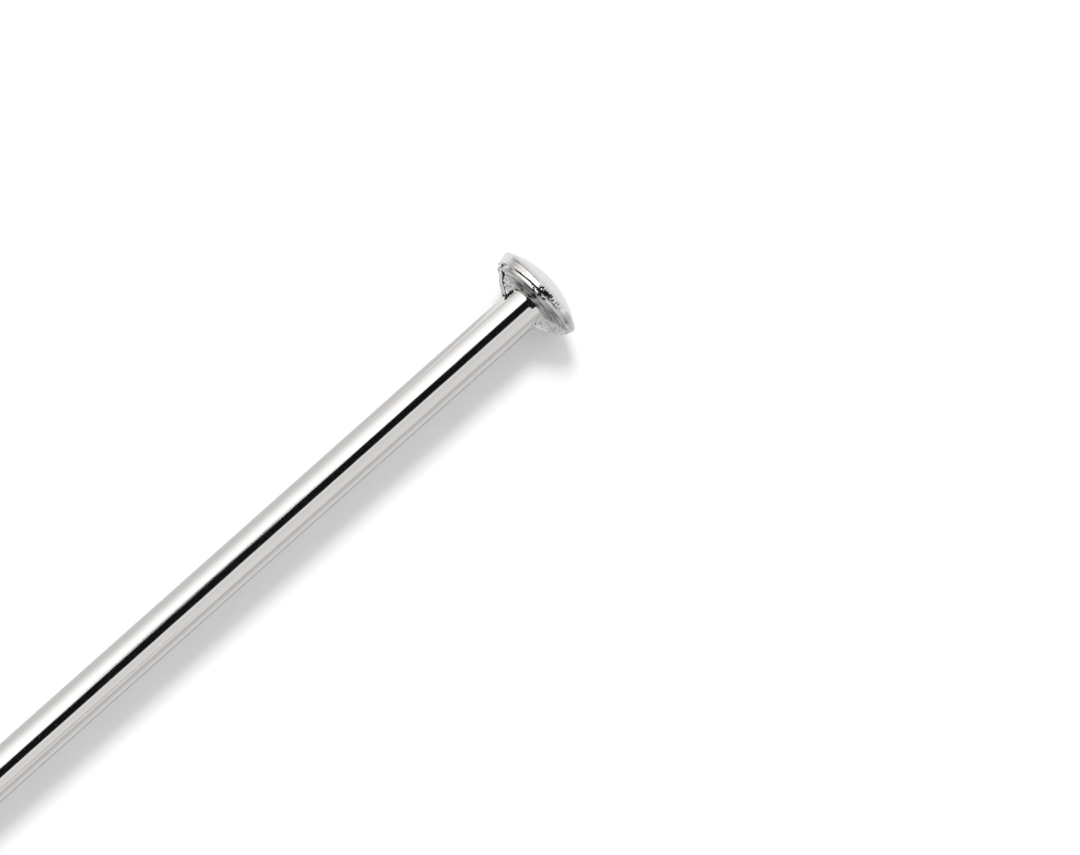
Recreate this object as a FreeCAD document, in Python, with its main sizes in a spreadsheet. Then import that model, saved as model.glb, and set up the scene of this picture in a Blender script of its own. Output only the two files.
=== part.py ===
import FreeCAD, Part
import math
import os

import Sketcher

# A dressmaker's straight pin: one length of hardened steel wire, plated bright.
# One end is upset cold between two gripping dies into a small domed head.
# The other end is ground to a long rounded point.
# The pin lies along X: the head at -X, the point at +X.
# The origin is on the wire's axis, where the plain shank comes clear of the head.

DRIVING_SIZES = {
    # the wire and its point
    "WireDiameter": 0.65,
    "OverallLength": 27.0,     # from the crown of the head to the tip
    "PointLength": 1.4,        # from the shank's last full diameter to the tip
    "TipRadius": 0.06,
    # the crown, which the punch forms
    "HeadDiameter": 1.58,      # at the shoulder, where the dome begins
    "DomeHeight": 0.235,
    "ShoulderRadius": 0.02,
    "SideHeight": 0.112,       # of the crown's side, half-way between its thick and its thin part
    "SideFlare": 15.0,         # the side leans out towards the dome
    # the rim, which the dies form
    "RimDiameter": 1.47,
    "RimHeight": 0.05,
    "UndersideHeight": 0.105,  # of the shallow cone between the wire and the rim
    # the two webs that the dies' parting line leaves at the root of the head
    "WebReach": 0.245,         # along the wire, below the root of the head
    "WebToeWidth": 0.52,       # where they run out in the wire
    "WebWidth": 1.48,          # at the rim
    "WebShoulder": 0.173,      # from the root of the head to where they are that wide
    "WebShoulderRadius": 0.15,
    "WebThickness": 0.32,
    # how the head sits: an upset head is never quite true to its wire
    "PartingAngle": -15.0,     # of the dies' parting plane, about the wire
    "HeadTilt": -0.5,          # of the crown, in the parting plane
    "UndersideTilt": 5.0,      # of the rim and the cone, in the parting plane
    "HeadOffset": -0.01,       # in the parting plane
}

doc = FreeCAD.newDocument("StraightPin")

sheet = doc.addObject("Spreadsheet::Sheet", "Sizes")
for row, (alias, millimetres_or_degrees) in enumerate(DRIVING_SIZES.items(), start=1):
    sheet.set(f"A{row}", alias)
    sheet.set(f"B{row}", str(millimetres_or_degrees))
    sheet.setAlias(f"B{row}", alias)
doc.recompute()

# Lengths that follow from the driving sizes
WIRE_RADIUS = "(Sizes.WireDiameter / 2)"
HEAD_RADIUS = "(Sizes.HeadDiameter / 2)"
RIM_RADIUS = "(Sizes.RimDiameter / 2)"
# from the root of the head, where the cone leaves the wire, towards the crown
RIM_TOP = "(Sizes.UndersideHeight + Sizes.RimHeight)"
DOME_BASE = f"({RIM_TOP} + Sizes.SideHeight)"
WEB_DEPTH = f"({RIM_TOP} + Sizes.SideHeight / 2)"
# from the root of the head towards the point, all of it inside the wire
CONE_APEX = f"(Sizes.UndersideHeight * {WIRE_RADIUS} / ({RIM_RADIUS} - {WIRE_RADIUS}))"
BLANK_FOOT = f"(1.5 * {CONE_APEX})"
# from the ledge over the rim towards the point
APEX_FROM_LEDGE = f"({RIM_TOP} + {CONE_APEX})"
CUT_BACK = f"({RIM_TOP} + 2 * {BLANK_FOOT})"
# along the wire, from the origin
LEDGE = f"(Sizes.WebReach + {RIM_TOP})"
HEAD_LENGTH = f"(Sizes.WebReach + {DOME_BASE} + Sizes.DomeHeight)"
TIP = f"(Sizes.OverallLength - {HEAD_LENGTH})"
SHANK_END = f"({TIP} - Sizes.PointLength)"


def value(expression):
    """A driving size, or a length that follows from some, as a plain number."""
    return float(sheet.evalExpression(expression))


def point(x, y):
    return FreeCAD.Vector(x, y, 0)


# The numbers that stand for a line's or an arc's own points, and for a profile's two axes
START, END, CENTRE = range(1, 4)
X_AXIS, Y_AXIS = range(-1, -3, -1)


def dimension(sketch, kind, elements, expression):
    """Adds a dimension to a sketch and ties it to the sheet."""
    index = sketch.addConstraint(Sketcher.Constraint(kind, *elements, value(expression)))
    sketch.setExpression(f"Constraints[{index}]", expression)


def relate(sketch, kind, *elements):
    sketch.addConstraint(Sketcher.Constraint(kind, *elements))


def line(sketch, start, end):
    return sketch.addGeometry(Part.LineSegment(point(*start), point(*end)))


def arc(sketch, centre, radius, start_angle, end_angle):
    """An arc drawn anticlockwise between two angles in radians."""
    circle = Part.Circle(point(*centre), FreeCAD.Vector(0, 0, 1), radius)
    return sketch.addGeometry(Part.ArcOfCircle(circle, start_angle, end_angle))


def origin_plane(body, role):
    return next(f for f in body.Origin.OriginFeatures if f.Role == role)


pin = doc.addObject("PartDesign::Body", "Pin")
pin.Label = "pin"


def add_shank():
    """The wire and its ground point, turned about X.

    The point is an ogive: its side is one long arc that leaves the wire without
    a corner and runs into the small round of the tip.
    """
    sketch = pin.newObject("Sketcher::SketchObject", "ShankProfile")
    sketch.AttachmentSupport = [(origin_plane(pin, "XY_Plane"), "")]
    sketch.MapMode = "FlatFace"

    wire_radius = value(WIRE_RADIUS)
    buried = -value(LEDGE)
    shank_end = value(SHANK_END)
    tip = value(TIP)
    tip_radius = value("Sizes.TipRadius")
    tip_reach = tip - shank_end - tip_radius
    ogive_radius = (tip_reach**2 + wire_radius**2 - tip_radius**2) / (2 * (wire_radius - tip_radius))
    join_angle = math.atan2(ogive_radius - wire_radius, tip_reach)

    axis = line(sketch, (buried, 0), (tip, 0))
    buried_end = line(sketch, (buried, 0), (buried, wire_radius))
    side = line(sketch, (buried, wire_radius), (shank_end, wire_radius))
    ogive_centre = (shank_end, wire_radius - ogive_radius)
    ogive = arc(sketch, ogive_centre, ogive_radius, join_angle, math.pi / 2)
    tip_round = arc(sketch, (tip - tip_radius, 0), tip_radius, 0, join_angle)

    relate(sketch, "PointOnObject", axis, START, X_AXIS)
    relate(sketch, "PointOnObject", axis, END, X_AXIS)
    relate(sketch, "Coincident", axis, START, buried_end, START)
    relate(sketch, "Vertical", buried_end)
    relate(sketch, "Coincident", buried_end, END, side, START)
    relate(sketch, "Horizontal", side)
    relate(sketch, "Tangent", side, END, ogive, END)
    relate(sketch, "Tangent", ogive, START, tip_round, END)
    relate(sketch, "PointOnObject", tip_round, CENTRE, X_AXIS)
    relate(sketch, "Coincident", tip_round, START, axis, END)
    dimension(sketch, "DistanceX", (axis, START, X_AXIS, START), LEDGE)
    dimension(sketch, "DistanceX", (X_AXIS, START, axis, END), TIP)
    dimension(sketch, "DistanceX", (X_AXIS, START, side, END), SHANK_END)
    dimension(sketch, "DistanceY", (buried_end, START, buried_end, END), WIRE_RADIUS)
    dimension(sketch, "Radius", (tip_round,), "Sizes.TipRadius")

    shank = pin.newObject("PartDesign::Revolution", "Shank")
    shank.Profile = sketch
    shank.ReferenceAxis = (sketch, ["H_Axis"])
    shank.Angle = 360
    return sketch


def attach_to_head(sketch, parting_plane, distance, tilt):
    """Puts a sketch in the parting plane, at a distance from the origin, tilted, with -X to the crown."""
    sketch.AttachmentSupport = [(parting_plane, "")]
    sketch.MapMode = "FlatFace"
    sketch.setExpression(
        "AttachmentOffset",
        f"placement(vector(-{distance}; Sizes.HeadOffset; 0);"
        f" rotation(vector(0; 0; 1); {tilt}))",
    )


def add_parting_plane():
    """The plane where the two gripping dies meet, turned about the wire."""
    plane = pin.newObject("PartDesign::Plane", "PartingPlane")
    plane.AttachmentSupport = [(origin_plane(pin, "XY_Plane"), "")]
    plane.MapMode = "FlatFace"
    plane.setExpression(
        "AttachmentOffset",
        "placement(vector(0; 0; 0); rotation(vector(1; 0; 0); Sizes.PartingAngle))",
    )
    return plane


def add_crown(parting_plane):
    """The punch's side of the head: a flared side and a low dome, turned about the head's axis."""
    sketch = pin.newObject("Sketcher::SketchObject", "CrownProfile")
    attach_to_head(sketch, parting_plane, "Sizes.WebReach", "Sizes.HeadTilt")

    # the blank's foot is cut away later, with all that lies outside the rim and the cone
    foot_x = value(BLANK_FOOT)
    dome_x = -value(DOME_BASE)
    head_radius = value(HEAD_RADIUS)
    flare = math.radians(value("Sizes.SideFlare"))
    foot_radius = head_radius - (foot_x - dome_x) * math.tan(flare)
    dome_height = value("Sizes.DomeHeight")
    dome_radius = (head_radius**2 + dome_height**2) / (2 * dome_height)
    dome_half_angle = math.asin(head_radius / dome_radius)
    dome_centre = dome_x - dome_height + dome_radius

    axis = line(sketch, (foot_x, 0), (dome_x - dome_height, 0))
    foot = line(sketch, (foot_x, 0), (foot_x, foot_radius))
    side = line(sketch, (foot_x, foot_radius), (dome_x, head_radius))
    dome = arc(sketch, (dome_centre, 0), dome_radius, math.pi - dome_half_angle, math.pi)

    relate(sketch, "PointOnObject", axis, START, X_AXIS)
    relate(sketch, "PointOnObject", axis, END, X_AXIS)
    relate(sketch, "Coincident", foot, START, axis, START)
    relate(sketch, "Vertical", foot)
    relate(sketch, "Coincident", foot, END, side, START)
    relate(sketch, "Coincident", side, END, dome, START)
    relate(sketch, "Coincident", dome, END, axis, END)
    relate(sketch, "PointOnObject", dome, CENTRE, X_AXIS)
    dimension(sketch, "DistanceX", (X_AXIS, START, foot, START), BLANK_FOOT)
    dimension(sketch, "DistanceX", (side, END, X_AXIS, START), DOME_BASE)
    dimension(sketch, "DistanceY", (X_AXIS, START, side, END), HEAD_RADIUS)
    dimension(sketch, "DistanceX", (axis, END, side, END), "Sizes.DomeHeight")
    side_width = f"(({BLANK_FOOT} + {DOME_BASE}) * tan(Sizes.SideFlare * 1 deg))"
    dimension(sketch, "DistanceY", (side, START, side, END), side_width)

    blank = pin.newObject("PartDesign::Revolution", "Crown")
    blank.Profile = sketch
    blank.ReferenceAxis = (sketch, ["H_Axis"])
    blank.Angle = 360
    return sketch


def round_shoulder():
    """Rounds the edge between the crown's side and its dome."""
    doc.recompute()
    blank = doc.getObject("Crown")
    dome = next(face for face in blank.Shape.Faces if isinstance(face.Surface, Part.Sphere))
    rings = [edge for edge in dome.Edges if not edge.Degenerated and edge.isClosed()]
    names = [
        f"Edge{number}"
        for number, edge in enumerate(blank.Shape.Edges, start=1)
        if any(edge.isSame(ring) for ring in rings)
    ]
    fillet = pin.newObject("PartDesign::Fillet", "ShoulderRound")
    fillet.Base = (blank, names)
    fillet.setExpression("Radius", "Sizes.ShoulderRadius")


def add_underside(parting_plane):
    """The dies' side of the head in one cut: a ledge under the crown, the rim and a shallow cone.

    It is cocked about the middle of the ledge, so the crown's side is thick at one
    web and thin at the other.
    """
    sketch = pin.newObject("Sketcher::SketchObject", "UndersideProfile")
    attach_to_head(sketch, parting_plane, LEDGE, "Sizes.UndersideTilt")

    wire_radius = value(WIRE_RADIUS)
    rim_radius = value(RIM_RADIUS)
    rim_height = value("Sizes.RimHeight")
    root_x = value(RIM_TOP)
    apex_x = value(APEX_FROM_LEDGE)
    back_x = value(CUT_BACK)
    outside = value("Sizes.HeadDiameter")
    cone = line(sketch, (apex_x, 0), (rim_height, rim_radius))
    rim = line(sketch, (rim_height, rim_radius), (0, rim_radius))
    ledge = line(sketch, (0, rim_radius), (0, outside))
    outer = line(sketch, (0, outside), (back_x, outside))
    back = line(sketch, (back_x, outside), (back_x, 0))
    axis = line(sketch, (back_x, 0), (apex_x, 0))
    root = sketch.addGeometry(Part.Point(point(root_x, wire_radius)), True)

    relate(sketch, "Coincident", cone, END, rim, START)
    relate(sketch, "Horizontal", rim)
    relate(sketch, "PointOnObject", rim, END, Y_AXIS)
    relate(sketch, "Coincident", rim, END, ledge, START)
    relate(sketch, "Vertical", ledge)
    relate(sketch, "Coincident", ledge, END, outer, START)
    relate(sketch, "Horizontal", outer)
    relate(sketch, "Coincident", outer, END, back, START)
    relate(sketch, "Vertical", back)
    relate(sketch, "Coincident", back, END, axis, START)
    relate(sketch, "PointOnObject", axis, START, X_AXIS)
    relate(sketch, "Coincident", axis, END, cone, START)
    relate(sketch, "PointOnObject", cone, START, X_AXIS)
    dimension(sketch, "DistanceX", (X_AXIS, START, rim, START), "Sizes.RimHeight")
    dimension(sketch, "DistanceY", (X_AXIS, START, rim, START), RIM_RADIUS)
    # the cone leaves the wire's surface at the root of the head
    relate(sketch, "PointOnObject", root, START, cone)
    dimension(sketch, "DistanceX", (X_AXIS, START, root, START), RIM_TOP)
    dimension(sketch, "DistanceY", (X_AXIS, START, root, START), WIRE_RADIUS)
    # the cut runs out past the crown's side and back past the blank's foot
    dimension(sketch, "DistanceY", (X_AXIS, START, ledge, END), "Sizes.HeadDiameter")
    dimension(sketch, "DistanceX", (X_AXIS, START, axis, START), CUT_BACK)

    groove = pin.newObject("PartDesign::Groove", "Underside")
    groove.Profile = sketch
    groove.ReferenceAxis = (sketch, ["H_Axis"])
    groove.Angle = 360
    doc.recompute()
    if not 0 < groove.Shape.Volume < doc.getObject("ShoulderRound").Shape.Volume:
        raise RuntimeError("the underside was not cut")
    return sketch


def add_webs(parting_plane):
    """Both webs in one pad across the wire: fans that run from the shank out to the rim."""
    sketch = pin.newObject("Sketcher::SketchObject", "WebProfile")
    attach_to_head(sketch, parting_plane, "Sizes.WebReach", "Sizes.HeadTilt")

    reach = value("Sizes.WebReach")
    toe = value("Sizes.WebToeWidth / 2")
    depth = value(WEB_DEPTH)
    side = value("Sizes.WebWidth / 2")
    shoulder = value("Sizes.WebShoulder")
    radius = value("Sizes.WebShoulderRadius")

    # the slope from the toe touches the shoulder's round
    to_toe = math.hypot(reach + shoulder, side - radius - toe)
    toe_direction = math.atan2(toe - side + radius, reach + shoulder)
    touch = toe_direction + math.acos(radius / to_toe)
    touch_point = (-shoulder + radius * math.cos(touch), side - radius + radius * math.sin(touch))

    toe_end = line(sketch, (reach, -toe), (reach, toe))
    far_end = line(sketch, (-depth, side), (-depth, -side))
    outlines = []
    for hand in (1, -1):
        slope = line(sketch, (reach, hand * toe), (touch_point[0], hand * touch_point[1]))
        angles = (touch, math.pi / 2) if hand > 0 else (-math.pi / 2, -touch)
        bend = arc(sketch, (-shoulder, hand * (side - radius)), radius, *angles)
        edge = line(sketch, (-shoulder, hand * side), (-depth, hand * side))
        near, far = (START, END) if hand > 0 else (END, START)
        relate(sketch, "Coincident", toe_end, END if hand > 0 else START, slope, START)
        relate(sketch, "Tangent", slope, END, bend, near)
        relate(sketch, "Tangent", bend, far, edge, START)
        relate(sketch, "Coincident", edge, END, far_end, START if hand > 0 else END)
        relate(sketch, "Horizontal", edge)
        outlines.append((slope, bend, edge))
    (_, upper_bend, upper_edge), (_, lower_bend, _) = outlines

    relate(sketch, "Symmetric", toe_end, START, toe_end, END, X_AXIS)
    relate(sketch, "Symmetric", far_end, START, far_end, END, X_AXIS)
    relate(sketch, "Vertical", upper_bend, CENTRE, lower_bend, CENTRE)
    relate(sketch, "Equal", upper_bend, lower_bend)
    dimension(sketch, "DistanceX", (X_AXIS, START, toe_end, END), "Sizes.WebReach")
    dimension(sketch, "DistanceY", (X_AXIS, START, toe_end, END), "Sizes.WebToeWidth / 2")
    dimension(sketch, "DistanceX", (far_end, START, X_AXIS, START), WEB_DEPTH)
    dimension(sketch, "DistanceY", (X_AXIS, START, far_end, START), "Sizes.WebWidth / 2")
    dimension(sketch, "DistanceX", (upper_edge, START, X_AXIS, START), "Sizes.WebShoulder")
    dimension(sketch, "Radius", (upper_bend,), "Sizes.WebShoulderRadius")

    webs = pin.newObject("PartDesign::Pad", "Webs")
    webs.Profile = sketch
    webs.SideType = "Symmetric"
    webs.setExpression("Length", "Sizes.WebThickness")
    return sketch


parting_plane = add_parting_plane()
sketches = [add_crown(parting_plane)]
round_shoulder()
sketches.append(add_underside(parting_plane))
sketches.append(add_shank())
sketches.append(add_webs(parting_plane))
doc.recompute()

for item in doc.Objects:
    if "Invalid" in item.State or "Error" in item.State:
        raise RuntimeError(f"{item.Name} did not compute: {item.State}")
for sketch in sketches:
    if not sketch.FullyConstrained:
        raise RuntimeError(f"{sketch.Name} has a size that nothing fixes")
if pin.Shape.isNull() or not pin.Shape.isValid() or len(pin.Shape.Solids) != 1:
    raise RuntimeError("the pin is not one valid solid")

os.makedirs("parts", exist_ok=True)
pin.Shape.exportStep(f"parts/{pin.Label}.step")
print(f"{pin.Label}: {pin.Shape.Volume:.4f} mm3")
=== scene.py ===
import math

import bpy
import numpy as np
from mathutils import Matrix, Vector


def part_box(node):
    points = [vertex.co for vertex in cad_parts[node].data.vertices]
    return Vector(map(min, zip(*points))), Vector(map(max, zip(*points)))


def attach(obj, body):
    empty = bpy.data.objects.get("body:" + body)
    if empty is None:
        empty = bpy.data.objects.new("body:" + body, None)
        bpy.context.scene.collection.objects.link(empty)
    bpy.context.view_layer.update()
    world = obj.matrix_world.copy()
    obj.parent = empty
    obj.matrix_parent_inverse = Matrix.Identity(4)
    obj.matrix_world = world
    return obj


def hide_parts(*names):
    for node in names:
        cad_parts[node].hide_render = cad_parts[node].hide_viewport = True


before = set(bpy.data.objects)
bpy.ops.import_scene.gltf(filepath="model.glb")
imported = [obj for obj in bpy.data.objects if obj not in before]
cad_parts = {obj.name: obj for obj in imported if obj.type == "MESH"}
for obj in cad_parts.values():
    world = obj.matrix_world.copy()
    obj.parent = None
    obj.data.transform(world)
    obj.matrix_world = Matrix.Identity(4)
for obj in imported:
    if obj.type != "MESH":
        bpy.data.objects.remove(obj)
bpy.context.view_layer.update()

MM = 0.001
MICROMETRE = 1.0e-6

# The pin's sizes in millimetres, as its solid has them
WIRE_RADIUS = 0.325
OVERALL_LENGTH = 27.0
POINT_LENGTH = 1.4
TIP_RADIUS = 0.06
HEAD_RADIUS = 0.79
DOME_HEIGHT = 0.235
SHOULDER_ROUND = 0.02
SIDE_HEIGHT = 0.112
SIDE_FLARE = math.radians(15.0)
RIM_RADIUS = 0.735
RIM_HEIGHT = 0.05
UNDERSIDE_HEIGHT = 0.105
WEB_REACH = 0.245
WEB_TOE = 0.26
WEB_SIDE = 0.74
WEB_SHOULDER = 0.173
WEB_SHOULDER_ROUND = 0.15
WEB_THICKNESS = 0.32
PARTING_ANGLE = math.radians(-15.0)
HEAD_TILT = math.radians(-0.5)
UNDERSIDE_TILT = math.radians(5.0)
HEAD_OFFSET = -0.01

RIM_TOP = UNDERSIDE_HEIGHT + RIM_HEIGHT
DOME_BASE = RIM_TOP + SIDE_HEIGHT
CROWN = DOME_BASE + DOME_HEIGHT
DOME_RADIUS = (HEAD_RADIUS**2 + DOME_HEIGHT**2) / (2 * DOME_HEIGHT)
WEB_DEPTH = RIM_TOP + SIDE_HEIGHT / 2
TIP = OVERALL_LENGTH - WEB_REACH - CROWN
SHANK_END = TIP - POINT_LENGTH

# How far the forming has rounded the edges and filled the corners of the head, in millimetres
EDGE_ROUND = 0.008
RIM_EDGE_ROUND = 0.035
WEB_EDGE_ROUND = 0.012
CREASE_ROUND = 0.012
WEB_FILL = 0.08
CREASE_DEPTH = 0.008
# the webs' edges swell a little between toe and rim: how far, where and how widely
WEB_SWELL = 0.025
WEB_SWELL_AT = 0.09
WEB_SWELL_WIDTH = 0.07
# the rim is worn back beside the back web: how far, and over which stretch across the head
RIM_WORN = 0.05
RIM_WORN_FROM = 0.58
RIM_WORN_TO = 0.72
# unevenness of the faces that the dies pressed: depth, size, seed
UNEVENNESS = ((0.006, 0.09, 3), (0.004, 0.035, 5))

# How fine the mesh is
AROUND = 360
HEAD_RINGS = 215
HEAD_RAYS = 1000
SHANK_RINGS = 8
OGIVE_RINGS = 26
TIP_RINGS = 8
HALVINGS = 26
# how much closer the head's rings lie where its profile turns
BEND_WEIGHT = 0.10
# where the head's rings give way to the shank's, and the point inside the head that they fan out from
HEAD_END = 0.05
FAN_CENTRE = -0.60
# distances from that point that are surely inside the head, and surely outside it
SURELY_INSIDE = 0.05
SURELY_OUTSIDE = 1.6

# The photograph's view: the picture's size, and where the pin's origin falls in it
PICTURE = (1080, 855)
ORIGIN_PIXEL = (515.45, 314.37)
PIXELS_PER_MM = 66.15
VIEW_AZIMUTH = math.radians(137.3)
VIEW_ELEVATION = math.radians(76.0)
LENS = 200.0
SENSOR = 36.0

# Stretches of the head that are marked, in degrees round it from the back web over the top
SEAM_TURNS = (44, 94)
ROOT_CREASE_TURNS = (74, 87)
FRONT_ROOT_CREASE_TURNS = (95, 102)
BLOT_TURNS = (91, 104)
SMALL_BLOT_TURNS = (86, 95)
TORN_TURNS = (80, 125)
COMB_TURNS = (92, 113)

# Dark patches under the head, partly stains and partly painted shade: degrees round it, share of the way
# in to the wire, their widths, darkness
STAINS_AND_SHADE = (
    (36, 0.95, 10, 0.07, 0.80),
    (39, 0.00, 7, 0.12, 0.90),
    (46, 0.55, 9, 0.32, 0.40),
    (58, 0.55, 10, 0.28, 0.82),
    (70, 0.10, 10, 0.12, 0.75),
    (70, 0.36, 11, 0.18, 0.52),
    (71, 0.75, 10, 0.22, 0.93),
    (82, 0.97, 10, 0.07, 0.95),
    (83, 0.50, 7, 0.26, 0.98),
    (100, 0.80, 8, 0.25, 0.55),
    (104, 0.92, 9, 0.10, 0.75),
    (135, 0.50, 38, 0.42, 0.42),
)
# Black nicks, and the blackest patches under the head, partly stains and partly painted shade, in the
# same terms
NICKS_AND_SHADE = (
    (79.5, 0.10, 2.4, 0.11, 1.00),
    (88.5, 0.06, 3.2, 0.14, 1.00),
    (95.5, 0.10, 2.6, 0.12, 1.00),
    (84.5, 0.46, 5.5, 0.19, 0.95),
    (75.5, 0.80, 6.0, 0.14, 0.66),
    (86.0, 0.72, 3.5, 0.10, 0.60),
    (61.0, 0.50, 5.0, 0.12, 0.52),
    (55.0, 0.80, 6.0, 0.05, 0.60),
)


# Shares from 0 to 1, and noise


def near(distance, width):
    """1 where a distance is nothing, falling away to 0 within a few widths."""
    return np.exp(-((distance / width) ** 2))


def rise(value, low, high):
    """0 below low, 1 above high, and smooth between them."""
    share = np.clip((value - low) / (high - low), 0, 1)
    return share * share * (3 - 2 * share)


def within(value, stretch, soft):
    """1 inside a stretch, and 0 outside it, with soft ends."""
    low, high = stretch
    return rise(value, low - soft, low) * (1 - rise(value, high, high + soft))


def lattice_noise(points, size, seed):
    """Smooth noise from 0 to 1 that changes over a given size in millimetres."""
    side = 32
    values = np.random.default_rng(seed).random((side, side, side))
    scaled = points / size
    corner = np.floor(scaled).astype(int)
    share = rise(scaled - corner, 0, 1)
    total = np.zeros(len(points))
    for x in (0, 1):
        for y in (0, 1):
            for z in (0, 1):
                weight = np.prod(np.where((x, y, z), share, 1 - share), axis=1)
                cell = (corner + (x, y, z)) % side
                total += weight * values[cell[:, 0], cell[:, 1], cell[:, 2]]
    return total


# The head's form, as distances outside its parts


def smooth_max(a, b, width):
    """The larger of two distances, with the edge between them rounded off."""
    blend = np.clip(1 - np.abs(a - b) / width, 0, None)
    return np.maximum(a, b) + blend**2 * width / 4


def smooth_min(a, b, width):
    """The smaller of two distances, with the corner between them filled."""
    return -smooth_max(-a, -b, width)


WIRE_AXIS = np.array([1.0, 0.0, 0.0])
PARTING_Y = np.array([0, math.cos(PARTING_ANGLE), math.sin(PARTING_ANGLE)])
PARTING_Z = np.array([0, -math.sin(PARTING_ANGLE), math.cos(PARTING_ANGLE)])


def head_axes(points, distance, tilt):
    """Places along the head's own axis, across it in the parting plane, and off that plane."""
    along = math.cos(tilt) * WIRE_AXIS + math.sin(tilt) * PARTING_Y
    across = -math.sin(tilt) * WIRE_AXIS + math.cos(tilt) * PARTING_Y
    from_centre = points + distance * WIRE_AXIS - HEAD_OFFSET * PARTING_Y
    return from_centre @ along, from_centre @ across, from_centre @ PARTING_Z


def crown_axes(points):
    """The crown's and the webs' axes, from the root of the head."""
    return head_axes(points, WEB_REACH, HEAD_TILT)


def die_axes(points):
    """The cocked axes of the rim and the underside, from the middle of the ledge over the rim."""
    return head_axes(points, WEB_REACH + RIM_TOP, UNDERSIDE_TILT)


def crown_distance(points):
    """Distance outside the crown's flared side and its dome."""
    along, across, off = crown_axes(points)
    radial = np.hypot(across, off)
    dome = np.hypot(along + CROWN - DOME_RADIUS, radial) - DOME_RADIUS
    side = (radial - HEAD_RADIUS) * math.cos(SIDE_FLARE) + (along + DOME_BASE) * math.sin(SIDE_FLARE)
    return smooth_max(side, dome, SHOULDER_ROUND)


def cone_distance(points):
    """Distance outside the shallow cone under the head."""
    along, across, off = die_axes(points)
    run = RIM_RADIUS - WIRE_RADIUS
    rise_to_rim = (np.hypot(across, off) - WIRE_RADIUS) * UNDERSIDE_HEIGHT
    return ((along - RIM_TOP) * run + rise_to_rim) / math.hypot(run, UNDERSIDE_HEIGHT)


def dies_distance(points):
    """Distance outside what the dies leave of the head: the cone, the rim, and the ledge over it."""
    along, across, off = die_axes(points)
    worn = RIM_WORN * rise(-across, RIM_WORN_FROM, RIM_WORN_TO)
    over_rim = smooth_min(np.hypot(across, off) - RIM_RADIUS + worn, along, EDGE_ROUND)
    return smooth_max(cone_distance(points), over_rim, RIM_EDGE_ROUND)


def web_outline(along, across):
    """Distance outside the webs' two edges: a straight slope from the toe, then a round shoulder."""
    side = np.abs(across)
    round_centre = WEB_SIDE - WEB_SHOULDER_ROUND
    to_toe = math.hypot(WEB_REACH + WEB_SHOULDER, round_centre - WEB_TOE)
    toe_direction = math.atan2(WEB_TOE - round_centre, WEB_REACH + WEB_SHOULDER)
    touch = toe_direction + math.acos(WEB_SHOULDER_ROUND / to_toe)
    slope = (along + WEB_SHOULDER) * math.cos(touch) + (side - round_centre) * math.sin(touch)
    slope -= WEB_SWELL * near(along - WEB_SWELL_AT, WEB_SWELL_WIDTH)
    corner = np.hypot(along + WEB_SHOULDER, side - round_centre)
    turn = np.arctan2(side - round_centre, along + WEB_SHOULDER)
    rounded = np.where(turn < touch, slope, corner) - WEB_SHOULDER_ROUND
    return np.where(along < -WEB_SHOULDER, side - WEB_SIDE, rounded)


def web_distance(points):
    """Distance outside the two flat webs at the root of the head."""
    along, across, off = crown_axes(points)
    sides = np.abs(off) - WEB_THICKNESS / 2
    ends = np.maximum(along - WEB_REACH, -WEB_DEPTH - along)
    return np.maximum(smooth_max(sides, web_outline(along, across), WEB_EDGE_ROUND), ends)


def shank_distance(points):
    """Distance outside the wire."""
    buried_end = -WEB_REACH - RIM_TOP
    return np.maximum(np.hypot(points[:, 1], points[:, 2]) - WIRE_RADIUS, buried_end - points[:, 0])


def head_distance(points):
    """Distance outside the whole head with its piece of shank."""
    pressed = smooth_min(dies_distance(points), web_distance(points), WEB_FILL)
    head = smooth_max(crown_distance(points), pressed, EDGE_ROUND)
    return smooth_min(head, shank_distance(points), CREASE_ROUND)


# Where the head is dull, stained, torn and darkened with painted shade


def head_turn(axes):
    """Degrees round the head, from the back web over the top to the front one."""
    _, across, off = axes
    return 180 - np.degrees(np.arctan2(off, across))


def below_shoulder(points):
    """How far down the crown's side from the shoulder, in millimetres."""
    return crown_axes(points)[0] + DOME_BASE


def side_and_rim(points):
    """1 on the crown's side, the ledge and the rim."""
    along, across, off = crown_axes(points)
    outer = rise(np.hypot(across, off), 0.69, 0.71) * rise(along + DOME_BASE, -0.01, 0.005)
    return outer * rise(RIM_HEIGHT + 0.012 - die_axes(points)[0], 0, 0.008)


def web_faces(points):
    """1 on the two flat faces of the webs, and less on their edges."""
    along, across, off = crown_axes(points)
    outline = web_outline(along, across)
    from_face = np.abs(off) - WEB_THICKNESS / 2
    flat = near(from_face, 0.02) * rise(-outline, 0.0, 0.015)
    edge = near(outline, 0.008) * rise(-from_face, 0.0, 0.012)
    faces = np.maximum(flat, 0.7 * edge) * near(web_distance(points), 0.02)
    return faces * (1 - side_and_rim(points)) * rise(WEB_REACH - along, 0.0, 0.02)


def underside(points):
    """1 on the cone under the head, and less where the rim is worn dull."""
    axes = die_axes(points)
    along, across, off = axes
    cone = rise(0.03 - cone_distance(points), 0, 0.01) * rise(shank_distance(points), 0.001, 0.008)
    cone *= rise(along, RIM_HEIGHT + 0.004, RIM_HEIGHT + 0.012) * (1 - web_faces(points))
    rim = near(np.hypot(across, off) - RIM_RADIUS, 0.008) * rise(along, 0.002, 0.008)
    turn = head_turn(axes)
    worn = np.maximum(0.6 * rise(turn, 84, 92), 0.8 * (1 - rise(turn, 38, 46)))
    return np.maximum(cone, rim * worn)


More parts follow.
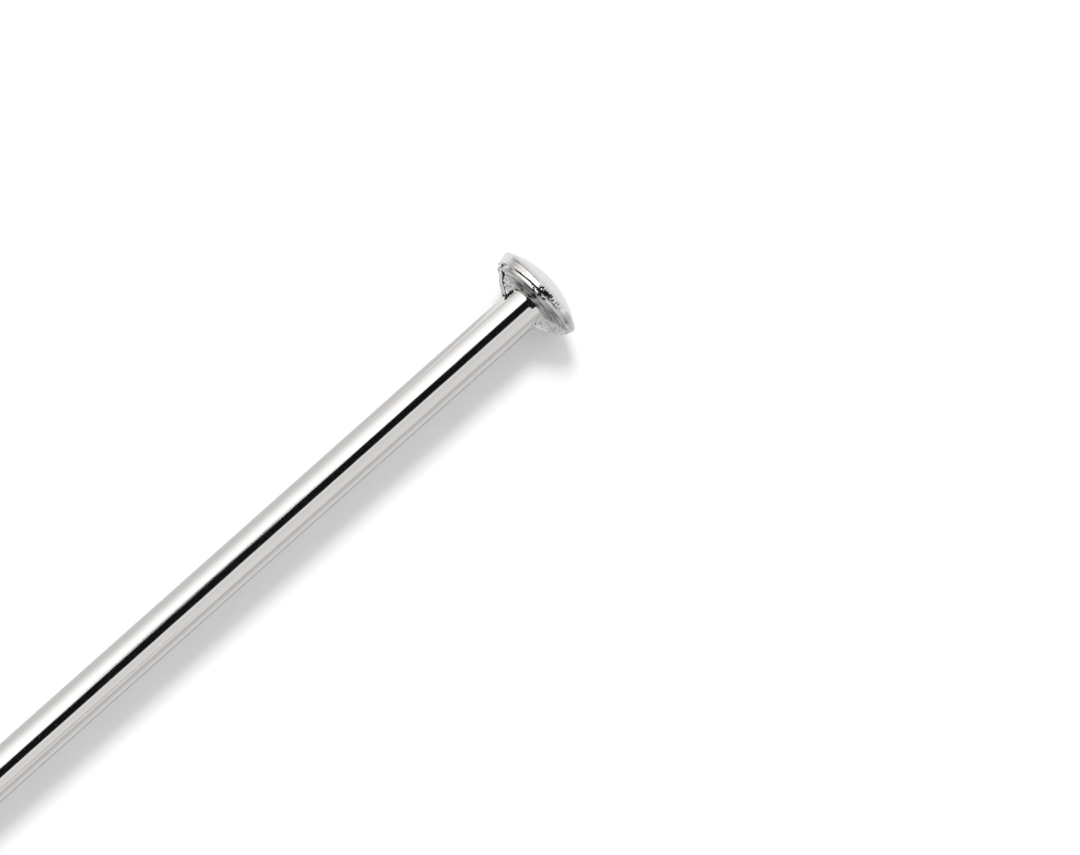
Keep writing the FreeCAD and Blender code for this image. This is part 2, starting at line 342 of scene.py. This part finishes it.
def spots(points, places):
    """Soft spots under the head at the given places."""
    axes = die_axes(points)
    _, across, off = axes
    turn = head_turn(axes)
    inward = (RIM_RADIUS - np.hypot(across, off)) / (RIM_RADIUS - WIRE_RADIUS)
    clear = np.ones(len(points))
    for degrees, share, wide, deep, darkness in places:
        clear *= 1 - darkness * near(turn - degrees, wide) * near(inward - share, deep)
    return (1 - clear) * near(cone_distance(points), 0.03)


def streaks_and_shade(points):
    """Stains, fine marks and painted shade that run round under the head, from 0 to 1."""
    _, across, off = die_axes(points)
    rings = np.hypot(across, off) / 0.020
    turns = np.arctan2(off, across) * 3.1
    round_head = np.stack([rings, turns, np.zeros_like(rings)], axis=1)
    fine = lattice_noise(round_head, 1.0, 21)
    coarse = lattice_noise(round_head, 2.7, 22)
    mottled = rise(0.6 * fine + 0.4 * coarse, 0.30, 0.70)
    stain_and_shade = spots(points, STAINS_AND_SHADE)
    return np.clip(stain_and_shade * (0.66 + 0.50 * mottled) + 0.24 * mottled * (1 - stain_and_shade), 0, 1)


def black_web_marks(points):
    """The black lines along the back web's edges and along both webs' creases with the wire."""
    along, across, off = crown_axes(points)
    back_web = 1 - rise(across, 0.0, 0.05)
    from_edge = np.hypot(np.abs(off) - WEB_THICKNESS / 2, web_outline(along, across) + 0.006)
    edge_width = 0.038 - 0.012 * rise(along, -0.04, 0.04)
    edge = near(from_edge, edge_width) * back_web * within(along, (-0.07, 0.30), 0.02)
    crease = near(web_distance(points), 0.018) * near(shank_distance(points) - 0.014, 0.026)
    return np.maximum(edge, crease * (0.3 + 0.47 * back_web))


def black_root_marks(points):
    """The black crease between the cone and the wire, and the blots on the wire below it."""
    turn = head_turn(die_axes(points))
    wire = shank_distance(points)
    stretches = np.maximum(within(turn, ROOT_CREASE_TURNS, 4), within(turn, FRONT_ROOT_CREASE_TURNS, 3))
    crease = near(cone_distance(points), 0.02) * near(wire - 0.004, 0.020) * stretches
    along = crown_axes(points)[0]
    blot = near(along - 0.02, 0.040) * within(turn, BLOT_TURNS, 4)
    small_blot = near(along - 0.04, 0.05) * within(turn, SMALL_BLOT_TURNS, 3)
    return np.maximum(crease, near(wire - 0.002, 0.012) * np.maximum(blot, small_blot))


def black_seam(points):
    """The dark line along the ledge over the rim."""
    axes = die_axes(points)
    along, across, off = axes
    turn = head_turn(axes)
    line = near(along + 0.001, 0.009 + 0.005 * rise(turn, 60, 85))
    outer = rise(np.hypot(across, off), RIM_RADIUS - 0.012, RIM_RADIUS - 0.002)
    return line * outer * within(turn, SEAM_TURNS, 6)


def black_marks(points):
    """All the black lines, creases, blots and nicks of the head, and the blackest stains and painted
    shade under it.
    """
    marks = (
        black_web_marks(points),
        black_root_marks(points),
        black_seam(points),
        spots(points, NICKS_AND_SHADE),
    )
    return np.clip(np.max(marks, axis=0), 0, 1)


def comb(points):
    """1 where the side is scored into a comb of fine dark ticks."""
    return side_and_rim(points) * within(head_turn(crown_axes(points)), COMB_TURNS, 6)


def torn_side(points):
    """1 where the upper edge of the crown's side is torn into ticks."""
    return within(head_turn(crown_axes(points)), TORN_TURNS, 4)


def scuffed(points):
    """1 on the stretch of the crown whose shoulder is scuffed pale."""
    turn = head_turn(crown_axes(points))
    return side_and_rim(points) * rise(turn, 32, 38) * (1 - rise(turn, 108, 136))


def grey_patches(points):
    """1 on the grey patches towards the two ends of the crown's side."""
    turn = head_turn(crown_axes(points))
    below = below_shoulder(points)
    front = near(turn - 141, 6) * near(below - 0.085, 0.035)
    back = 0.45 * near(turn - 36, 7) * rise(below, 0.02, 0.06)
    return side_and_rim(points) * np.maximum(front, back)


# The pin's mesh


def circle():
    """Turns about the wire of the points of one ring."""
    return np.arange(AROUND) / AROUND * 2 * math.pi


def fan(angles, turns):
    """Directions at angles from the crown towards the shank, for turns about the wire."""
    angles, turns = np.broadcast_arrays(angles, turns)
    return np.stack(
        [-np.cos(angles), np.sin(angles) * np.cos(turns), np.sin(angles) * np.sin(turns)], axis=-1
    )


def head_surface(directions):
    """Where rays from the fan's centre leave the head, by halving."""
    centre = FAN_CENTRE * WIRE_AXIS
    inside = np.full(len(directions), SURELY_INSIDE)
    outside = np.full(len(directions), SURELY_OUTSIDE)
    for _ in range(HALVINGS):
        middle = (inside + outside) / 2
        still_inside = head_distance(centre + directions * middle[:, None]) < 0
        inside = np.where(still_inside, middle, inside)
        outside = np.where(still_inside, outside, middle)
    return centre + directions * inside[:, None]


def head_rings():
    """The rings of the head, closer together where its profile turns."""
    turns = circle()
    last = math.pi - math.atan2(WIRE_RADIUS, HEAD_END - FAN_CENTRE)
    angles = np.linspace(0, last, HEAD_RAYS)
    profiles = head_surface(fan(angles[None, :], turns[:, None]).reshape(-1, 3))
    steps = np.diff(profiles.reshape(AROUND, HEAD_RAYS, 3), axis=1)
    lengths = np.linalg.norm(steps, axis=2)
    headings = steps / lengths[..., None]
    bends = np.zeros_like(lengths)
    bends[:, 1:] = np.linalg.norm(np.diff(headings, axis=1), axis=2)
    travelled = np.cumsum(lengths + BEND_WEIGHT * bends, axis=1)
    travelled = np.concatenate([np.zeros((AROUND, 1)), travelled], axis=1)
    wanted = np.linspace(0, 1, HEAD_RINGS + 1)[1:]
    chosen = np.stack([np.interp(wanted, way / way[-1], angles) for way in travelled], axis=1)
    points = head_surface(fan(chosen, turns[None, :]).reshape(-1, 3))
    return points.reshape(HEAD_RINGS, AROUND, 3)


def worn_by_dies(points):
    """Sinks the creases and the dull faces' unevenness into the head's surface."""
    probe = 0.002
    slopes = [
        head_distance(points + probe * axis) - head_distance(points - probe * axis)
        for axis in np.eye(3)
    ]
    normals = np.stack(slopes, axis=1)
    normals /= np.linalg.norm(normals, axis=1, keepdims=True)
    uneven = sum(deep * lattice_noise(points, size, seed) for deep, size, seed in UNEVENNESS)
    pressed = np.maximum(underside(points), web_faces(points))
    on_wire = near(shank_distance(points), 0.012) * rise(crown_axes(points)[0], 0.0, 0.02)
    depth = CREASE_DEPTH * black_marks(points) * (1 - on_wire) + pressed * uneven
    return points - normals * depth[:, None]


def shank_rings():
    """The rings of the plain shank, of the ogive and of the tip's round."""
    reach = POINT_LENGTH - TIP_RADIUS
    ogive_radius = (reach**2 + WIRE_RADIUS**2 - TIP_RADIUS**2) / (2 * (WIRE_RADIUS - TIP_RADIUS))
    join = math.atan2(ogive_radius - WIRE_RADIUS, reach)
    shank = [(x, WIRE_RADIUS) for x in np.linspace(HEAD_END, SHANK_END, SHANK_RINGS + 1)[1:]]
    ogive = [
        (SHANK_END + ogive_radius * math.cos(a), WIRE_RADIUS - ogive_radius * (1 - math.sin(a)))
        for a in np.linspace(math.pi / 2, join, OGIVE_RINGS + 1)[1:]
    ]
    tip = [
        (TIP - TIP_RADIUS + TIP_RADIUS * math.cos(a), TIP_RADIUS * math.sin(a))
        for a in np.linspace(join, 0, TIP_RINGS + 1)[1:-1]
    ]
    turns = circle()
    return np.array(
        [
            np.stack([np.full(AROUND, x), r * np.cos(turns), r * np.sin(turns)], axis=1)
            for x, r in shank + ogive + tip
        ]
    )


def pin_mesh():
    """The pin as one closed mesh, with the head's marks painted on it as attributes."""
    rings = np.concatenate([head_rings(), shank_rings()])
    crown = head_surface(-WIRE_AXIS[None, :])
    smooth = np.concatenate([crown, rings.reshape(-1, 3), [[TIP, 0, 0]]])
    points = smooth.copy()
    head = slice(0, 1 + HEAD_RINGS * AROUND)
    points[head] = worn_by_dies(smooth[head])
    neighbours = [(a, (a + 1) % AROUND) for a in range(AROUND)]
    faces = [(0, 1 + b, 1 + a) for a, b in neighbours]
    for first in range(1, 1 + (len(rings) - 1) * AROUND, AROUND):
        second = first + AROUND
        faces += [(first + a, first + b, second + b, second + a) for a, b in neighbours]
    tip = len(points) - 1
    last = tip - AROUND
    faces += [(last + a, last + b, tip) for a, b in neighbours]
    mesh = bpy.data.meshes.new("fine_pin")
    mesh.from_pydata((points * MM).tolist(), [], faces)
    for name, amount in (
        ("underside", underside),
        ("web_faces", web_faces),
        ("side_and_rim", side_and_rim),
        ("below_shoulder", below_shoulder),
        ("scuffed", scuffed),
        ("torn_side", torn_side),
        ("comb", comb),
        ("grey_patches", grey_patches),
        ("black_marks", black_marks),
        ("streaks_and_shade", streaks_and_shade),
    ):
        layer = mesh.attributes.new(name, "FLOAT", "POINT")
        layer.data.foreach_set("value", amount(smooth).astype(np.float32))
    mesh.polygons.foreach_set("use_smooth", [True] * len(mesh.polygons))
    return mesh


# Materials


class Value:
    """A socket's value; sums, products and the like add the shader's own maths."""

    def __init__(self, shader, socket):
        self.shader = shader
        self.socket = socket

    def maths(self, operation, first, second):
        """The result of one Math node."""
        return self.shader.add("ShaderNodeMath", {"operation": operation}, {0: first, 1: second})

    def __add__(self, other):
        return self.maths("ADD", self, other)

    __radd__ = __add__

    def __sub__(self, other):
        return self.maths("SUBTRACT", self, other)

    def __rsub__(self, other):
        return self.maths("SUBTRACT", other, self)

    def __mul__(self, other):
        return self.maths("MULTIPLY", self, other)

    __rmul__ = __mul__

    def __truediv__(self, other):
        return self.maths("DIVIDE", self, other)

    def __rtruediv__(self, other):
        return self.maths("DIVIDE", other, self)

    def __abs__(self):
        return self.maths("ABSOLUTE", self, 0.0)

    def at_least(self, other):
        """The larger of this value and another."""
        return self.maths("MAXIMUM", self, other)

    def angle_from(self, other):
        """The angle whose sine part this is, and whose cosine part the other is."""
        return self.maths("ARCTAN2", self, other)


class Shader:
    """The node tree of a material or of the world."""

    def __init__(self, owner):
        owner.use_nodes = True
        self.tree = owner.node_tree
        self.tree.nodes.clear()

    def add(self, kind, settings=None, inputs=None, output=0):
        """Adds a node, sets it up, fills its sockets and gives one of its outputs."""
        node = self.tree.nodes.new(kind)
        for name, setting in (settings or {}).items():
            if name == "stops":
                self.set_stops(node.color_ramp.elements, setting)
            else:
                setattr(node, name, setting)
        for name, source in (inputs or {}).items():
            if isinstance(source, Value):
                self.tree.links.new(source.socket, node.inputs[name])
            else:
                node.inputs[name].default_value = source
        return Value(self, node.outputs[output]) if node.outputs else None

    def set_stops(self, elements, stops):
        """Sets a ramp's greys by position; a new ramp already has two stops."""
        for place, (position, grey) in enumerate(stops):
            element = elements[place] if place < 2 else elements.new(position)
            element.position = position
            element.color = (grey, grey, grey, 1)

    def step(self, value, low, high):
        """0 below low, 1 above high, and smooth between them."""
        return self.add(
            "ShaderNodeMapRange",
            {"interpolation_type": "SMOOTHSTEP"},
            {"Value": value, "From Min": low, "From Max": high},
        )

    def axis(self, vector, name):
        """One of a vector's three parts."""
        return self.add("ShaderNodeSeparateXYZ", {}, {"Vector": vector}, output=name)

    def part_towards(self, vector, direction):
        """How far a vector goes in a direction."""
        return self.add(
            "ShaderNodeVectorMath",
            {"operation": "DOT_PRODUCT"},
            {0: vector, 1: direction},
            output="Value",
        )

    def mixed(self, share, first, second):
        """A colour between two."""
        return self.add(
            "ShaderNodeMix", {"data_type": "RGBA"}, {"Factor": share, 6: first, 7: second}, output=2
        )

    def noise(self, place, scale, detail, stretch=(1.0, 1.0, 1.0)):
        """Noise with so many cells to the metre."""
        stretched = self.add("ShaderNodeVectorMath", {"operation": "MULTIPLY"}, {0: place, 1: stretch})
        return self.add(
            "ShaderNodeTexNoise",
            {},
            {"Vector": stretched, "Scale": scale, "Detail": detail, "Roughness": 0.6},
        )

    def painted(self, name):
        """What the mesh has painted on it under a name."""
        return self.add("ShaderNodeAttribute", {"attribute_name": name}, output="Fac")


NICKEL = (0.795, 0.778, 0.762, 1)
FROSTED = (0.81, 0.805, 0.795, 1)
SCUFFED = (0.68, 0.67, 0.66, 1)
BLACK = (0.02, 0.02, 0.02, 1)
# how high the torn edge of the crown's side jumps, in millimetres, and the tick at which it stays put
TEAR = 0.13
TEAR_LEVEL = 0.58
# in millimetres down the side: the end of the pale shoulder, both ends of the score and of the comb
SHOULDER_EDGE = 0.044
SCORE_TOP = 0.038
SCORE_FOOT = 0.052
COMB_TOP = 0.040
COMB_FOOT = 0.105


def nickel_plate():
    """Bright nickel on drawn wire; dull, mottled and streaked where the dies pressed the head's root,
    and darkened under the head by stains and painted shade.
    """
    material = bpy.data.materials.new("nickel_plate")
    shader = Shader(material)
    place = shader.add("ShaderNodeTexCoord", output="Object")

    under = shader.painted("underside")
    web = shader.painted("web_faces")
    side = shader.painted("side_and_rim")
    below = shader.painted("below_shoulder")
    torn = shader.painted("torn_side")
    scuffs = shader.painted("scuffed")

    drawn_lines = shader.noise(place, 26000.0, 3.0, (0.035, 1.0, 1.0))
    ticks = shader.noise(place, 40000.0, 0.0, (0.10, 1.0, 1.0))
    blots = shader.noise(place, 17000.0, 1.0)
    pits = shader.noise(place, 26000.0, 4.0)
    patches = shader.noise(place, 11000.0, 2.0)
    swirls = shader.noise(place, 14000.0, 1.0)

    edge = below + torn * (ticks - TEAR_LEVEL) * TEAR
    pale_shoulder = scuffs * (1 - shader.step(edge, SHOULDER_EDGE, SHOULDER_EDGE + 0.008))
    past_score = shader.step(edge, SCORE_FOOT, SCORE_FOOT + 0.010)
    score = scuffs * (1 - torn) * shader.step(edge, SCORE_TOP, SCORE_TOP + 0.010) * (1 - past_score)
    past_comb = shader.step(edge, COMB_FOOT, COMB_FOOT + 0.015)
    in_comb = shader.step(edge, COMB_TOP, COMB_TOP + 0.008) * (1 - past_comb)
    teeth = shader.painted("comb") * shader.step(ticks, 0.42, 0.50) * in_comb

    ragged = shader.painted("black_marks") + 1.3 * (blots - 0.5)
    marks = shader.step(ragged, 0.42, 0.58)
    streak_and_shade = shader.painted("streaks_and_shade") * (0.9 * pits + 0.9 * patches + 0.1)
    front_web = shader.step(shader.axis(place, "Y"), 0.0, 0.2 * MM)
    veins = 1 - shader.step(abs(swirls - 0.5), 0.008, 0.03)
    web_stain = shader.step(patches + 0.35 * pits, 0.66, 0.80)
    dark = (
        marks * 0.97
        # stains and painted shade under the head
        + under * (0.05 + streak_and_shade * (1.9 - 0.95 * streak_and_shade))
        + scuffs * (1 - torn) * 0.24 * blots
        + web * (0.75 * veins + 0.50 * web_stain) * (1 - 0.5 * front_web)
        + score * (0.25 + 0.6 * blots)
        + teeth * 0.9
        + shader.painted("grey_patches") * (0.1 + 0.7 * blots)
    )
    dull = under + web + pale_shoulder
    plate = shader.mixed(dull, NICKEL, shader.mixed(pale_shoulder, FROSTED, SCUFFED))

    low_side = 0.7 * shader.step(below, 0.095, 0.115) * (1 - torn)
    unevenness = 0.15 + 0.85 * torn + low_side
    micrometres = (
        drawn_lines * 0.5 * (1 - dull)
        + side * (1 - pale_shoulder) * (blots * 6.0 + ticks * 3.0) * unevenness
        + (under + web) * (pits * 8.0 + patches * 7.0)
    )
    bump = shader.add(
        "ShaderNodeBump", {}, {"Height": micrometres, "Strength": 1.0, "Distance": MICROMETRE}
    )
    surface = shader.add(
        "ShaderNodeBsdfPrincipled",
        {},
        {
            "Base Color": shader.mixed(dark, plate, BLACK),
            "Metallic": 1 - 0.85 * dull,
            "Roughness": 0.08 + dull * (0.27 + 0.2 * patches) + marks * 0.3,
            "Specular IOR Level": 0.03,
            "Normal": bump,
        },
    )
    shader.add("ShaderNodeOutputMaterial", {}, {"Surface": surface})
    return material


# Painted reflection: how white the board is painted for the rays that the pin mirrors, by distance to
# the side of it, in millimetres
PAINTED_REFLECTION_WHITENESS = (
    (0.0, 0.85),
    (0.8, 0.82),
    (1.3, 0.70),
    (2.2, 0.60),
    (4.0, 0.50),
    (8.0, 0.50),
    (18.0, 0.64),
    (40.0, 0.80),
)
BOARD_REACH = 50.0
# painted shadow: how much darker the board is painted, for the rays that the pin mirrors, on the strip
# under the shank
PAINTED_SHANK_SHADOW = 0.27


def white_board():
    """The white board under the pin, white to the camera, with a painted reflection and a painted shadow
    in what the pin mirrors.
    """
    material = bpy.data.materials.new("white_board")
    shader = Shader(material)
    mirrored_rays = shader.add("ShaderNodeLightPath", output="Is Glossy Ray")
    place = shader.add("ShaderNodeTexCoord", output="Object")
    beside = shader.axis(place, "Y")
    painted_reflection = shader.add(
        "ShaderNodeValToRGB",
        {"stops": [(distance / BOARD_REACH, white) for distance, white in PAINTED_REFLECTION_WHITENESS]},
        {"Fac": beside / (BOARD_REACH * MM)},
    )
    # painted shadow of the shank on the board, seen only in what the pin mirrors
    past_head = shader.step(shader.axis(place, "X"), -0.3 * MM, 0.3 * MM)
    shank_shadow_strip = past_head * (1 - shader.step(beside, 0.6 * MM, 1.0 * MM))
    mirrored = painted_reflection * (1 - PAINTED_SHANK_SHADOW * shank_shadow_strip)
    # the pin mirrors the painted reflection and painted shadow; all other rays see the board white
    colour = shader.mixed(mirrored_rays, (1, 1, 1, 1), mirrored)
    surface = shader.add("ShaderNodeBsdfDiffuse", {}, {"Color": colour})
    shader.add("ShaderNodeOutputMaterial", {}, {"Surface": surface})
    return material


# The studio

# What the pin mirrors, by angle about the wire from the photograph's view, in degrees: radiance
SURROUNDINGS = (
    (-180, 0.80),
    (-112, 0.80),
    (-104, 0.70),
    (-90, 0.75),
    (-84, 0.85),
    (-72, 1.00),
    (-58, 1.18),
    (-40, 1.35),
    (-26, 1.35),
    (-19, 1.10),
    (-17.5, 0.02),
    (-15.5, 0.008),
    (16, 0.008),
    (19, 0.03),
    (21, 0.84),
    (28, 0.86),
    (33, 0.74),
    (60, 0.80),
    (74, 0.82),
    (80, 0.66),
    (86, 0.60),
    (100, 0.62),
    (112, 0.80),
    (180, 0.80),
)
BRIGHTEST = 1.5
# how far the dark gap leans along the wire, from where the shank mirrors it
GAP_SLANT = math.radians(10.0)
# how much brighter the panels grow past that, towards the point
BRIGHTER_ALONG = 0.5
# the X part of the directions that the shank mirrors, and how far the view leans across the wire
SHANK_MIRRORS = -math.sin(VIEW_AZIMUTH) * math.cos(VIEW_ELEVATION)
VIEW_LEAN = math.atan2(
    -math.cos(VIEW_AZIMUTH) * math.cos(VIEW_ELEVATION), math.sin(VIEW_ELEVATION)
)
# The even light from all round, and the lamp's share, height, turn and width
AMBIENT = 0.71
KEY_SHARE = 0.40
KEY_ELEVATION = math.radians(64.5)
KEY_TURN = math.radians(40.0)
KEY_WIDTH = math.radians(20.0)


def light_tent():
    """White to the camera; the pin mirrors light panels with a dark gap where the camera stands."""
    world = bpy.data.worlds.new("light_tent")
    bpy.context.scene.world = world
    world.cycles.sampling_method = "NONE"
    shader = Shader(world)
    direction = shader.add("ShaderNodeTexCoord", output="Generated")
    to_side = shader.part_towards(direction, (0, math.cos(VIEW_LEAN), -math.sin(VIEW_LEAN)))
    to_camera = shader.part_towards(direction, (0, math.sin(VIEW_LEAN), math.cos(VIEW_LEAN)))
    past_shank = shader.axis(direction, "X") - SHANK_MIRRORS
    angle = to_side.angle_from(to_camera) - GAP_SLANT * past_shank
    panels = shader.add(
        "ShaderNodeValToRGB",
        {"stops": [((degrees + 180) / 360, level / BRIGHTEST) for degrees, level in SURROUNDINGS]},
        {"Fac": angle / (2 * math.pi) + 0.5},
    )
    panels = panels * (1 + BRIGHTER_ALONG * past_shank.at_least(0.0))
    glossy = shader.add("ShaderNodeLightPath", output="Is Glossy Ray")
    camera_rays = shader.add("ShaderNodeLightPath", output="Is Camera Ray")
    mirrored = shader.add("ShaderNodeBackground", {}, {"Color": panels, "Strength": BRIGHTEST})
    fill = shader.add("ShaderNodeBackground", {}, {"Color": (1, 1, 1, 1), "Strength": AMBIENT})
    white = shader.add("ShaderNodeBackground", {}, {"Color": (1, 1, 1, 1), "Strength": 1.0})
    seen = shader.add("ShaderNodeMixShader", {}, {0: glossy, 1: fill, 2: mirrored})
    seen = shader.add("ShaderNodeMixShader", {}, {0: camera_rays, 1: seen, 2: white})
    shader.add("ShaderNodeOutputWorld", {}, {"Surface": seen})


def key_light():
    """One soft lamp above the head's side of the picture, for the pin's shadow."""
    lamp = bpy.data.lights.new("key_light", "SUN")
    lamp.energy = KEY_SHARE * math.pi / math.sin(KEY_ELEVATION)
    lamp.angle = KEY_WIDTH
    key = bpy.data.objects.new("key_light", lamp)
    bpy.context.scene.collection.objects.link(key)
    key.visible_glossy = False
    towards = Vector(
        (
            -math.sin(KEY_TURN) * math.cos(KEY_ELEVATION),
            -math.cos(KEY_TURN) * math.cos(KEY_ELEVATION),
            math.sin(KEY_ELEVATION),
        )
    )
    key.rotation_mode = "QUATERNION"
    key.rotation_quaternion = towards.to_track_quat("Z", "Y")


def floor(height):
    """The board, level under the head's rim."""
    half = 0.4
    mesh = bpy.data.meshes.new("white_board")
    corners = [(-half, -half), (half, -half), (half, half), (-half, half)]
    mesh.from_pydata([(x, y, height) for x, y in corners], [], [(0, 1, 2, 3)])
    board = bpy.data.objects.new("white_board", mesh)
    bpy.context.scene.collection.objects.link(board)
    mesh.materials.append(white_board())


def camera():
    """Looks down on the head as the photograph does, with the shaft leaving at the lower left."""
    back = Vector(
        (
            math.sin(VIEW_AZIMUTH) * math.cos(VIEW_ELEVATION),
            -math.cos(VIEW_AZIMUTH) * math.cos(VIEW_ELEVATION),
            math.sin(VIEW_ELEVATION),
        )
    )
    right = Vector((math.cos(VIEW_AZIMUTH), math.sin(VIEW_AZIMUTH), 0))
    up = back.cross(right)
    width, height = PICTURE
    focal = LENS / SENSOR * width
    distance = focal / PIXELS_PER_MM * MM
    aside = (ORIGIN_PIXEL[0] - width / 2) / focal * distance
    above = (height / 2 - ORIGIN_PIXEL[1]) / focal * distance
    lens = bpy.data.cameras.new("camera")
    lens.lens = LENS
    lens.sensor_width = SENSOR
    lens.clip_start = 0.001
    lens.clip_end = 10
    eye = bpy.data.objects.new("camera", lens)
    bpy.context.scene.collection.objects.link(eye)
    eye.matrix_world = Matrix((right, up, back)).transposed().to_4x4()
    eye.location = back * distance - right * aside - up * above
    bpy.context.scene.camera = eye


pin = bpy.data.objects.new("fine_pin", pin_mesh())
bpy.context.scene.collection.objects.link(pin)
pin.data.materials.append(nickel_plate())
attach(pin, "root")
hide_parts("pin")

light_tent()
key_light()
floor(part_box("pin")[0].z)
camera()
bpy.context.scene.view_settings.view_transform = "Standard"
